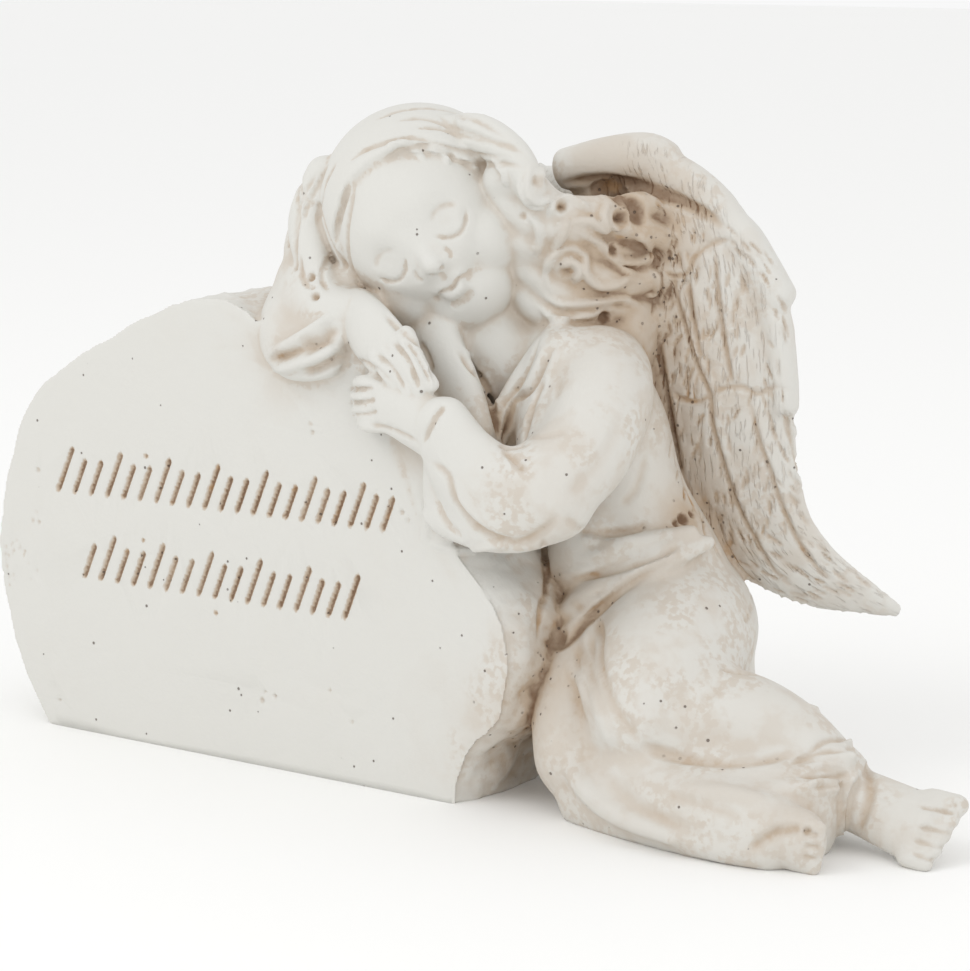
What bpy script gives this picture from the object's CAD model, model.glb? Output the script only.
import math
import random

import bmesh
import bpy
import numpy as np
from mathutils import Matrix, Vector, noise
from mathutils.bvhtree import BVHTree
from mathutils.kdtree import KDTree


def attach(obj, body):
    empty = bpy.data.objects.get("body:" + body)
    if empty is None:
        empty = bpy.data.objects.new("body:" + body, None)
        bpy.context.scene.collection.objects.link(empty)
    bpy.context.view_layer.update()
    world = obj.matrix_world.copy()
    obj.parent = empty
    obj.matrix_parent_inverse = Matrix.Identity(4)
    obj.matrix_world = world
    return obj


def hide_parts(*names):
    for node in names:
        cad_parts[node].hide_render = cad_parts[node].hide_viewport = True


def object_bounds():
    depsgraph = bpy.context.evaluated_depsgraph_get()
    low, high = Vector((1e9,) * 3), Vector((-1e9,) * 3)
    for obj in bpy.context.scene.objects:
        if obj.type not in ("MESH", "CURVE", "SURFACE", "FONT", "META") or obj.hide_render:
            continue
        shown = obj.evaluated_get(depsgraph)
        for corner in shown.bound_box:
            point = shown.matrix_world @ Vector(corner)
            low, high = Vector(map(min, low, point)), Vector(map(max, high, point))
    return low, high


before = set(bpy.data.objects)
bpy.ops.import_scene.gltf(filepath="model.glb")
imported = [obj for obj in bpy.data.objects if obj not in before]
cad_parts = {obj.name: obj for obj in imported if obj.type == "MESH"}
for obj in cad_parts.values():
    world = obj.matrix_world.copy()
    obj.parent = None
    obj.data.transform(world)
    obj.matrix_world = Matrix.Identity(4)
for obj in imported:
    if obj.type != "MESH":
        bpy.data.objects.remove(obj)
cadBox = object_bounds()
print("frame loaded", cadBox)

originShift = Vector((2.2, 4.7, 0))  # modelling frame to part frame, in millimetres

camera = {
    "place": Vector((460.6, -664.2, 225.5)),
    "aim": Vector((6, -15, 78.6)),
    "lens": 114.93,
    "focal": 3100,  # in picture pixels
    "middle": (485, 485.5),
}


# Runs and drawn-out balls.

def smoothRun(rows):
    count = len(rows) - 1

    def at(t):
        place = min(max(t, 0), 1) * count
        k = min(int(place), count - 1)
        w = place - k
        here, there = rows[k], rows[k + 1]
        before = rows[k - 1] if k > 0 else [2 * a - b for a, b in zip(here, there)]
        after = rows[k + 2] if k + 2 <= count else [2 * b - a for a, b in zip(here, there)]
        out = []
        for a, b, c, d in zip(before, here, there, after):
            s0, s1 = (c - a) / 2, (d - b) / 2
            out.append(b + w * (s0 + w * (3 * (c - b) - 2 * s0 - s1 + w * (2 * (b - c) + s0 + s1))))
        return out

    return at


def aroundOf(at, t, gap=0.01):
    # the run at t, and a little ahead and back of it
    return at(t), at(min(t + gap, 1)), at(max(t - gap, 0))


def closedBall(forms, sides, rings, place):
    # each form starts as its own ball, and place gives every vertex its new spot
    bm = bmesh.new()
    for vert in bmesh.ops.create_uvsphere(bm, u_segments=sides, v_segments=rings, radius=1)["verts"]:
        vert.co = place(vert.co)
    bmesh.ops.recalc_face_normals(bm, faces=bm.faces)
    forms.append(meshFrom(bm, "form"))


def limb(forms, rows, facing=(0, -1, 0), sides=20, rings=24, endShare=0.16, endLength=1.0):
    # a ball drawn out along rows of x, y, z, half width, half thickness
    rows = [list(r) if len(r) == 5 else list(r) + [r[3]] for r in rows]
    at = smoothRun(rows)
    front = Vector(facing)
    frames = []
    for ring in range(rings + 1):
        s = ring / rings
        t = min(max((s - endShare) / (1 - 2 * endShare), 0), 1)
        past = max(endShare - s, s - 1 + endShare, 0) / endShare
        here, ahead, back = aroundOf(at, t)
        tangent = (Vector(ahead[:3]) - Vector(back[:3])).normalized()
        side = front.cross(tangent).normalized()
        face = tangent.cross(side).normalized()
        reach = math.sin(past * math.pi / 2) * min(here[3], here[4]) * endLength * (-1 if s < 0.5 else 1)
        frames.append((Vector(here[:3]) + tangent * reach, side, face, here[3], here[4],
                       math.cos(past * math.pi / 2)))

    def place(spot):
        ring = round(math.acos(max(-1, min(1, spot.z))) / math.pi * rings)
        turn = math.atan2(spot.y, spot.x)
        centre, side, face, wide, thick, shrink = frames[ring]
        if ring in (0, rings):
            shrink = 0
        return centre - (side * math.cos(turn) * wide + face * math.sin(turn) * thick) * shrink

    closedBall(forms, sides, rings, place)


def lump(forms, centre, sizes, axes=((1, 0, 0), (0, -1, 0), (0, 0, 1)), sides=24, rings=16):
    # a ball squeezed to three half sizes along its own axes
    across, front, up = (Vector(axis) for axis in axes)

    def place(spot):
        return (Vector(centre) + across * spot.x * sizes[0] + front * spot.y * sizes[1]
                + up * spot.z * sizes[2])

    closedBall(forms, sides, rings, place)


# Fusing, smoothing and reading meshes.

def meshFrom(bm, name):
    mesh = bpy.data.meshes.new(name)
    bm.to_mesh(mesh)
    bm.free()
    return mesh


def withModifiers(mesh, name, steps):
    # a mesh with each modifier applied in turn
    holder = bpy.data.objects.new(name, mesh)
    bpy.context.scene.collection.objects.link(holder)
    for kind, settings in steps:
        modifier = holder.modifiers.new(kind.lower(), kind)
        for key, value in settings.items():
            setattr(modifier, key, value)
    shaped = bpy.data.meshes.new_from_object(holder.evaluated_get(bpy.context.evaluated_depsgraph_get()))
    bpy.data.objects.remove(holder)
    bpy.data.meshes.remove(mesh)
    shaped.name = name
    return shaped


def fuse(mesh, voxel, softness, rounds):
    return withModifiers(mesh, mesh.name, [
        ("REMESH", {"mode": "VOXEL", "voxel_size": voxel, "adaptivity": 0}),
        ("SMOOTH", {"factor": softness, "iterations": rounds}),
    ])


def placesOf(mesh, kind="co"):
    flat = np.empty(len(mesh.vertices) * 3, dtype=np.float32)
    mesh.vertices.foreach_get(kind, flat)
    return flat.reshape(-1, 3).astype(np.float64)


def putPlaces(mesh, places):
    mesh.vertices.foreach_set("co", places.astype(np.float32).ravel())
    mesh.update()


# Drawing on the form: picture pixels, or a flat sheet seen from one side, cast on to the surface.

def pictureRay(u, v):
    forward = (camera["aim"] - camera["place"]).normalized()
    right = forward.cross(Vector((0, 0, 1))).normalized()
    up = right.cross(forward)
    way = forward * camera["focal"] + right * (u - camera["middle"][0]) - up * (v - camera["middle"][1])
    return camera["place"], way.normalized()


def backRay(x, z):
    return Vector((x, 200, z)), Vector((0, -1, 0))


def surfaceTree(mesh):
    places = placesOf(mesh)
    mesh.calc_loop_triangles()
    corners = np.empty(len(mesh.loop_triangles) * 3, dtype=np.int32)
    mesh.loop_triangles.foreach_get("vertices", corners)
    return BVHTree.FromPolygons(places.tolist(), corners.reshape(-1, 3).tolist())


def vertexTree(places):
    tree = KDTree(len(places))
    for i, place in enumerate(places.tolist()):
        tree.insert(place, i)
    tree.balance()
    return tree


def samplesOf(tree, line, ray, step):
    # smooth run through two-number points, cast on to the surface, about step apart
    at = smoothRun([list(p) for p in line])
    length = sum(math.dist(a, b) for a, b in zip(line, line[1:]))
    count = max(3, int(length / step))
    spots = []
    for i in range(count + 1):
        t = i / count
        hit = tree.ray_cast(*ray(*at(t)))
        if hit[0] is not None:
            spots.append((hit[0], t))
    return spots


class Carving:
    # gathers cuts (plus) and raised lines (minus) and moves the vertices once

    def __init__(self, mesh):
        self.mesh = mesh
        self.places = placesOf(mesh)
        self.normals = placesOf(mesh, "normal")
        self.surface = surfaceTree(mesh)
        self.tree = vertexTree(self.places)
        self.cut = np.zeros(len(self.places))
        self.raised = np.zeros(len(self.places))

    def touch(self, spot, width, depth):
        into = self.cut if depth > 0 else self.raised
        size = abs(depth)
        for _, index, away in self.tree.find_range(spot, width):
            share = away / width
            value = size * (1 - share * share) ** 2
            if value > into[index]:
                into[index] = value

    def line(self, points, width, depth, ray=pictureRay, taper=0.5, step=None, only=None):
        step = step or (width * 1.1 if ray is pictureRay else width * 0.3)
        for spot, t in samplesOf(self.surface, points, ray, step):
            if only and not only(spot):
                continue
            fade = min(1, math.sin(math.pi * min(max(t, 0.02), 0.98)) / taper) if taper else 1
            self.touch(spot, width * (0.6 + 0.4 * fade), depth * fade)

    def lines(self, rows, **settings):
        for points, width, depth in rows:
            self.line(points, width, depth, **settings)

    def spot(self, point, width, depth, ray=pictureRay):
        hit = self.surface.ray_cast(*ray(*point))
        if hit[0] is not None:
            self.touch(hit[0], width, depth)

    def spots(self, rows, ray=pictureRay):
        for u, v, width, depth in rows:
            self.spot((u, v), width, depth, ray)

    def finish(self):
        self.places -= self.normals * (self.cut - self.raised)[:, None]
        putPlaces(self.mesh, self.places)
        return self.cut


# The boulder slab.

slab = {
    "face": -40,
    "deep": 50,
    "middle": (-58, 62),
    "outline": [
        (-117, -5), (-131, 8), (-138, 23), (-142, 37), (-143, 50), (-140, 69), (-134, 85), (-127, 95),
        (-118, 102), (-102, 111), (-86, 119), (-75, 123), (-63, 125), (-54, 123), (-46, 119), (-25, 115),
        (-3, 107), (8, 92), (12, 76), (14, 66), (20, 59), (27, 50), (29, 41), (29, 33), (26, 24), (19, 17),
        (14, 7), (8, -4), (-40, -5), (-80, -5),
    ],
    "rings": [  # share of the outline's reach, depth behind the face, push outwards
        (0.5, 0, 0), (1, 0, -1.8), (1, 0.5, -0.5), (1, 2, 1.2), (1, 7, 3.7), (1, 14, 4.9), (1, 24, 5.3),
        (1, 34, 4.7), (1, 42, 2.6), (1, 48, -1), (1, 50, -4), (0.5, 50, 0),
    ],
    "ringCount": 60,
    "sides": 480,
    "rough": [(0.11, 1.6), (0.3, 0.9), (0.8, 0.35)],  # how fine, and height
    "sunk": 0.4,  # how far the rough skin lies below the form
}


def slabForm(forms):
    # a ball whose rings are the front outline, pushed out and back; the flank is rough, the face smooth
    outline = [list(p) for p in slab["outline"]]
    count = len(outline)
    at = smoothRun(outline[-1:] + outline + outline[:2])
    ringAt = smoothRun([list(r) for r in slab["rings"]])
    middle = Vector((slab["middle"][0], 0, slab["middle"][1]))
    rings = slab["ringCount"]

    def place(spot):
        ring = round(math.acos(max(-1, min(1, spot.z))) / math.pi * rings)
        if ring in (0, rings):
            reach, back, push = 0, slab["deep"] if ring else 0, 0
        else:
            reach, back, push = ringAt((ring - 1) / (rings - 2))
        turn = math.atan2(spot.y, spot.x) / (2 * math.pi) % 1
        x, z = at((turn * count + 1) / (count + 2))
        edge = Vector((x, 0, z))
        out = (edge - middle).normalized()
        lift = push * (1 - 0.9 * max(0, out.z)) if push > 0 else push
        flank = Vector((x, back, z))
        if reach > 0.9:
            rough = sum(noise.noise(flank * fine) * height for fine, height in slab["rough"])
            lift += (rough - slab["sunk"]) * min(1, 0.35 + back / 8) * (1 if back > 0.2 else 0.5)
        there = middle.lerp(edge + out * lift, reach)
        return Vector((there.x, slab["face"] + back, there.z))

    closedBall(forms, slab["sides"], rings, place)


# The child: trunk, arms and robe, all soft forms.

chestFacing = (-0.4, -0.9, 0)
softForms = [  # rows of x, y, z, half width and half thickness, then the limb's settings
    # trunk, neck and the shoulder
    ([(48, 12, 30, 23, 20), (44, 8, 54, 21.5, 19), (37.5, 4, 76, 16, 15.5), (33, 1, 94, 16.4, 16),
      (28, -1, 106, 16.6, 13), (21, -3, 113, 11, 10)], {"facing": chestFacing, "sides": 32, "rings": 40}),
    ([(14, -6, 100, 10, 10), (6, -9, 114, 10, 10), (-4, -10, 128, 11, 12)], {}),
    # left sleeve, forearm and the slack under the elbow
    ([(36, -6, 109, 13.5, 13), (42, -16, 103, 13, 13.5), (44, -28, 92, 12, 13), (38, -38, 84, 12, 12)],
     {"facing": (0.9, -0.2, 0.4), "sides": 32, "rings": 32}),
    ([(42, -37, 83, 12, 11), (31, -43, 83, 12.5, 9), (21, -45, 90, 11, 7), (14, -46, 101, 8, 6)],
     {"sides": 28}),
    ([(12, -42.5, 76, 6, 4.4), (28, -44, 74, 6, 5.5), (40, -39, 76, 6, 5), (45, -27, 83, 4, 4)], {}),
    ([(10.5, -42.5, 94, 4, 3), (10, -42, 84, 4.6, 3), (11, -42, 75, 5, 3)], {}),
    # shirt front between collar and arm, and the lapel under the chin
    ([(29, -12, 112, 11, 10), (31, -19, 101, 11, 9), (35, -27, 90, 10, 9)], {}),
    ([(-9, -20, 126, 8, 5), (-2, -25, 116, 8, 4.6), (5, -27, 106, 8, 5), (14, -31, 94, 7, 5)], {}),
    # right sleeve along the slab's top
    ([(6, 2, 110, 13, 12), (-14, -4, 116, 13, 12), (-34, -16, 124, 12, 12), (-43, -24, 124, 11, 11)],
     {"sides": 28, "endShare": 0.12, "endLength": 0.7}),
    ([(-44, -20, 128, 11, 9), (-44, -34, 119, 9, 7), (-36, -41, 113, 8, 5), (-24, -42, 114, 7, 5)],
     {"sides": 28}),
    ([(-45, -25, 130, 9, 8), (-37, -32, 126, 9, 8), (-28, -35, 123, 8, 7), (-18, -33, 123, 7, 6)], {}),
    # robe: left thigh, left shin, right thigh, right shin, cloth between and the seat behind
    ([(50, 10, 44, 22, 20), (57, -4, 42, 20.5, 19), (62, -18, 34, 18, 17), (63, -25, 27, 16, 15)],
     {"facing": (0.7, 0, 0.7), "sides": 32, "rings": 32}),
    ([(66, -24, 24, 15, 14), (80, -15, 24.5, 15.5, 15), (93, -12, 21, 14, 13), (105, -12, 15.5, 11.5, 11),
      (112, -12, 13, 10, 10)], {"sides": 32, "rings": 36, "endShare": 0.1, "endLength": 0.3}),
    ([(40, -4, 42, 17, 16), (39, -16, 28, 15, 14), (45, -27, 14, 14, 12)],
     {"facing": (0.8, 0, 0.5), "sides": 28}),
    ([(48, -27, 8, 14, 12), (68, -33, 8, 13, 11), (90, -37, 8, 12, 10), (108, -37, 7, 10, 9)],
     {"sides": 28, "endShare": 0.1, "endLength": 0.5}),
    ([(70, -24, 10, 13, 12), (88, -27, 10, 14, 12), (108, -23, 8, 13, 11)],
     {"endShare": 0.1, "endLength": 0.7}),
    ([(56, 12, 17, 20, 16), (78, 2, 10, 15, 11), (100, -6, 7, 12, 9)], {"sides": 28}),
    # wing roots on the back
    ([(23, 14, 156, 9, 5), (25, 15, 136, 9, 6), (28, 14, 116, 8, 8), (31, 10, 98, 9, 8), (29, 2, 72, 10, 8)],
     {"facing": (0.2, -0.98, 0)}),
    ([(30, 10, 112, 18, 10), (14, 15, 120, 20, 9), (4, 18, 122, 16, 7)], {}),
]
softLumps = [  # middle and half sizes
    ((34, -8, 62), (12, 9, 18)),
    ((-9, 15, 144), (13, 10.5, 14)),
    ((-27, -26, 134), (5.5, 5, 7)),
    ((-31, -22, 142), (6, 5, 9)),
    ((18, -19, 94.5), (5, 5, 7)),
]

# shirt hem, collar bands and robe folds that stand off the soft forms
clothLines = [
    [(2, -22, 110, 3, 2), (8, -20, 102, 3.4, 2), (16, -24, 92, 3, 2)],
    [(26, -10, 121, 3, 2.2), (22, -17, 112, 3.4, 2.4), (18, -24, 100, 3.4, 2.2), (18, -27, 91, 2.6, 2)],
    [(64, 1, 67.6, 2.1), (56, -10, 63, 3.4), (44, -14, 56, 4.4), (35, -16, 49, 4.4), (28, -15, 42, 3.6)],
    [(61, -2, 70.6, 2), (48, -12, 67, 2.8), (36, -14, 62, 2.8), (25, -13, 58, 2.4)],
    [(60, -33, 22, 1.4), (82, -31, 18, 2.8), (104, -20, 22, 2.8), (115, -14, 23, 1.4)],
    [(42, -12, 46, 1.4), (45, -24, 38, 2.8), (52, -33, 30, 2.8), (61, -37, 21, 1.4)],
    [(64, -36, 12, 1.4), (88, -38, 14, 2.8), (108, -30, 17, 2.8), (115, -22, 17, 1.4)],
    [(60, -39, 9, 1.4), (84, -42, 15, 2.8), (100, -41, 16, 2.8), (110, -38, 14, 1.4)],
    [(40, -26, 28, 1.4), (47, -36, 16, 2.8), (64, -43, 8, 2.8), (84, -47, 5, 1.4)],
]


# Hands and feet.

hands = {
    "leftPalm": [(17, -45, 94, 6.5, 4.5), (6, -46, 101, 8, 4.5), (-3, -45.5, 103, 7, 3.6)],
    "rightPalm": [(-22, -33, 123, 7.5, 5), (-13, -39, 120.5, 8, 4.6), (-4, -43, 116, 8, 4)],
    "leftTips": [(-13, 107.6), (-13.8, 104.2), (-13.4, 100.6), (-11.6, 97.6)],  # x and z
    "rightTips": [(12, -46.6, 109.5), (9, -47.4, 108.2), (6, -47.6, 107.5), (2.8, -47, 108.2)],
}
feet = {
    "left": [(104, -10, 12, 8.4, 8), (115, -11, 11, 8.2, 7), (127, -13, 9, 9, 5.5),
             (135, -14, 7.5, 9.5, 4.8)],
    "leftFacing": (0, -0.68, 0.73),
    "right": [(102, -36, 8, 8, 7), (114, -37, 7, 8, 6)],
    "toes": 5,
    "bigToe": 2.9,  # half width
    "smallToe": 2.3,
}


def handForms(forms):
    # left hand flat on the slab, the right one over it with its fingers hanging down
    limb(forms, hands["leftPalm"], sides=24)
    limb(forms, hands["rightPalm"], sides=24)
    for finger, (x, z) in enumerate(hands["leftTips"]):
        knuckle = (0, -46, 106 - finger * 2.5, 2.2)
        joint = (-8, -46.2, z + 0.5 - finger * 0.2, 2.1)
        limb(forms, [knuckle, joint, (x, -43.8, z, 1.8)], sides=16, rings=20)
    for finger, (x, y, z) in enumerate(hands["rightTips"]):
        knuckle = (2.5 - finger * 3, -44.6, 121 - finger * 1.9, 2.6)
        joint = (7.5 - finger * 2.9, -46.8, 115 - finger * 1.1, 2.4)
        limb(forms, [knuckle, joint, (x, y, z, 2)], sides=16, rings=20)


def footForms(forms):
    # the left foot lies on its outer edge, the right one peeps from the hem
    limb(forms, feet["left"], facing=feet["leftFacing"], sides=28, endShare=0.1, endLength=0.5)
    limb(forms, feet["right"], sides=24)
    for toe in range(feet["toes"]):
        radius = feet["smallToe"] if toe else feet["bigToe"]
        y, z = -7.6 - toe * 3.3, 13.6 - toe * 2.9
        tip = (140.4 - toe * toe * 0.12, y, z - 0.4, radius)
        limb(forms, [(133, y, z, radius), tip], sides=16, rings=16)
        tip = (119.6 - toe * 0.4, -38.6, 11.6 - toe * 2.6, 2)
        limb(forms, [(112, -38, 12 - toe * 2.6, 2.2), tip], sides=16, rings=16)


# Head, face and hair.

head = {
    "centre": Vector((-16, -10, 146)),
    "front": Vector((0.42, -0.906, 0)),
    "up": Vector((-0.558, -0.26, 0.788)),
    "half": (24.5, 27, 29),  # side, front, up
    "jaw": 0.14,  # how much the lower half narrows
    "reach": 37,  # nothing of the head and its hair lies further from the centre
    # rises and hollows on the unit ball: side, front, up, reach, height
    "forms": [
        (-0.43, 0.8, -0.42, 0.24, 2.2), (0.43, 0.8, -0.42, 0.24, 2.2), (-0.37, 0.92, -0.1, 0.15, -2),
        (0.37, 0.92, -0.1, 0.15, -2), (0, 0.8, -0.6, 0.2, 2), (0, 0.54, -0.84, 0.16, 1.8),
        (-0.34, 0.93, 0.12, 0.13, 0.9), (0.34, 0.93, 0.12, 0.13, 0.9), (0, 0.98, 0.04, 0.08, -0.7),
    ],
    # side, front and up from the centre, then half sizes
    "nose": [(0, 24, 1, 1.7, 1.2), (0, 25.6, -6, 2.2, 2), (0, 27.2, -11, 3, 2.7)],
    "lipAndJaw": [((0, 24.2, -19.9), (3.5, 2.1, 1.5)), ((0, 12, -21), (14, 11.4, 11))],
    "pairs": [  # lids, cheeks, nostrils and upper lip
        ((9.6, 16.6, -4.3), (6.6, 7.4, 5.2)), ((11, 12, -13), (11, 10.4, 11)),
        ((3, 25, -11.8), (2, 2.2, 1.8)), ((2, 24, -17.2), (2.9, 1.9, 1.2)),
    ],
}
head["side"] = head["up"].cross(head["front"]).normalized()
hair = {
    "thick": 2.2,
    "tilt": 0.46,  # of the plane that cuts the cap
    "hairline": 10.7,  # from the head's centre to that plane
    "locks": [
        [(-33, -8, 156, 8, 7), (-43, -15, 149, 8, 7), (-45, -24, 138, 6.5, 6), (-38, -31, 131, 5, 4)],
        [(-38, -24, 158, 6, 5), (-41, -28, 146, 6, 5), (-37, -32, 137, 5, 4), (-32, -34, 131, 3, 3)],
        [(-9, -13, 169, 5, 3), (5, -15.5, 169.5, 5.4, 4), (16, -16, 164, 5, 4), (22, -17, 156, 4, 3.4)],
    ],
    "waves": 6,
}


def inHead(side, front, up):
    return head["centre"] + head["side"] * side + head["front"] * front + head["up"] * up


def faceForm(forms):
    wide, deep, tall = head["half"]

    def place(spot):
        jaw = 1 - head["jaw"] * max(0, -spot.z) ** 2
        there = inHead(spot.x * wide * jaw, spot.y * deep, spot.z * tall)
        for side, front, up, reach, height in head["forms"]:
            away = math.dist(spot, (side, front, up)) / reach
            there += head["front"] * height * math.exp(-0.5 * away * away)
        return there

    closedBall(forms, 96, 64, place)
    axes = (head["side"], head["front"], head["up"])
    nose = [(*inHead(*row[:3]), *row[3:]) for row in head["nose"]]
    limb(forms, nose, facing=tuple(head["front"]), sides=24)
    for middle, sizes in head["lipAndJaw"]:
        lump(forms, inHead(*middle), sizes, axes)
    for hand in (-1, 1):
        for (side, front, up), sizes in head["pairs"]:
            lump(forms, inHead(hand * side, front, up), sizes, axes)


def faceRay(side, up):
    return inHead(side, 80, up), -head["front"]


def hairCap(forms):
    # a cap over the skull, cut along a tilted plane at the hairline
    wide, deep, tall = head["half"]
    bm = bmesh.new()
    for vert in bmesh.ops.create_uvsphere(bm, u_segments=96, v_segments=64, radius=1)["verts"]:
        x, y, z = vert.co
        vert.co = inHead(1 + (wide + hair["thick"]) * x, -1 + (deep + hair["thick"]) * y, 3 + (tall - 1) * z)
    forward, down = math.cos(hair["tilt"]), math.sin(hair["tilt"])
    brow = inHead(0, hair["hairline"] * forward, -hair["hairline"] * down)
    out = head["front"] * forward - head["up"] * down
    everything = bm.verts[:] + bm.edges[:] + bm.faces[:]
    cut = bmesh.ops.bisect_plane(bm, geom=everything, plane_co=brow, plane_no=out, clear_outer=True)
    bmesh.ops.contextual_create(bm, geom=[g for g in cut["geom_cut"] if isinstance(g, bmesh.types.BMEdge)])
    bmesh.ops.recalc_face_normals(bm, faces=bm.faces)
    forms.append(meshFrom(bm, "form"))


def lockForms(forms):
    # full locks on the pillow side, one over the crown, and the wavy mass before the wing
    for rows in hair["locks"]:
        limb(forms, rows)
    for i in range(hair["waves"]):
        rows = []
        for t in (0, 0.25, 0.5, 0.75, 1):
            x = 10 + 29 * t + (i % 2) * 3 * t
            y = -14 + i * 1.4 + 13 * t + 13 * t ** 3 - 5 * math.sin(math.pi * t)
            z = 158 - i * 5.6 - 9 * t + 2.6 * math.sin(t * 8 + i * 1.7)
            rows.append((x, y, z, 5.2 - 1.6 * t, 4.8 - 1.4 * t))
        limb(forms, rows)


# Wings.

wingThick = (3.4, 2.8, 1.7)  # half thickness of the blade, before its tip and at it
wingLeft = {
    "spine": [  # x, y, z and half width
        (36, 16, 158, 11), (40, 17, 149, 17), (46, 18, 137, 20), (53, 20, 120, 22), (57, 21, 102, 19),
        (60, 23, 84, 16.5), (66, 26, 67, 14), (78, 31, 56, 9.5), (99.5, 38, 47.5, 2),
    ],
    "facing": (0.2, -0.98, 0),
    "rolls": [  # each ends with a small step in the outline
        [(15, 8, 159.5, 5.6, 5), (26, 12, 162, 6.4, 5), (35, 16, 163, 6.6, 5.4),
         (40.5, 18.5, 161.5, 5.6, 5)],
        [(34, 17, 161, 5.5, 5.4), (44, 19, 157.4, 5.8, 5.4), (52, 21, 151.5, 5.8, 5.4),
         (57, 22, 146.5, 5.2, 5)],
        [(52, 21.5, 149, 5, 5), (60.4, 22, 143.6, 5, 5), (66, 23, 135.8, 4.8, 5), (71, 24, 128, 4.6, 4.8)],
        [(66, 23, 132, 3.6, 4.6), (70.4, 24, 121, 3.8, 4.4), (72, 24, 110, 3.8, 4.2),
         (73.2, 23.8, 100, 3.4, 4)],
    ],
}
wingRight = {
    "spine": [(0, 19, 147, 14), (-6, 19, 132, 20), (-12, 19, 110, 20), (-18, 17, 90, 18), (-26, 15, 72, 14),
              (-38, 14, 58, 9), (-56, 13, 49, 3)],
    "facing": (-0.15, 0.98, 0),
    "rolls": [[(26, 16, 138, 6, 5), (14, 21, 148, 6.5, 5), (2, 24, 152, 7, 5.5), (-12, 24, 148, 7, 5.5),
               (-22, 23, 137, 5.5, 5), (-26, 22, 122, 4, 4)]],
}


def wingForm(forms, wing):
    even, before, tip = wingThick
    thick = [even] * (len(wing["spine"]) - 2) + [before, tip]
    rows = [(*row, half) for row, half in zip(wing["spine"], thick)]
    limb(forms, rows, facing=wing["facing"], sides=48, rings=72, endShare=0.03, endLength=0.6)
    for roll in wing["rolls"]:
        limb(forms, roll, sides=28, rings=40, endShare=0.1, endLength=0.6)


# The whole figure, fused in stages.

fusing = {  # voxel in millimetres, smoothing share and rounds
    "soft": (1.4, 0.5, 14),
    "cloth": (0.9, 0.5, 6),
    "face": (0.7, 0.5, 9),
    "whole": (0.6, 0.5, 3),
}


def gathered(forms, name):
    bm = bmesh.new()
    for form in forms:
        bm.from_mesh(form)
        bpy.data.meshes.remove(form)
    return meshFrom(bm, name)


def buildFigure():
    forms = []
    for rows, settings in softForms:
        limb(forms, rows, **settings)
    for centre, sizes in softLumps:
        lump(forms, centre, sizes)
    soft = fuse(gathered(forms, "soft"), *fusing["soft"])
    print("soft forms", len(soft.vertices))

    forms = [soft]
    for rows in clothLines:
        limb(forms, rows, sides=16, rings=32)
    wingForm(forms, wingLeft)
    wingForm(forms, wingRight)
    lockForms(forms)
    footForms(forms)
    cloth = fuse(gathered(forms, "cloth"), *fusing["cloth"])
    print("cloth, wings and locks", len(cloth.vertices))

    faceParts = []
    faceForm(faceParts)
    forms = [cloth, fuse(gathered(faceParts, "face"), *fusing["face"])]
    hairCap(forms)
    slabForm(forms)
    handForms(forms)
    whole = fuse(gathered(forms, "figure"), *fusing["whole"])
    print("figure", len(whole.vertices))
    return whole


# Carving, drawn in picture pixels where the picture shows the place.

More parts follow.
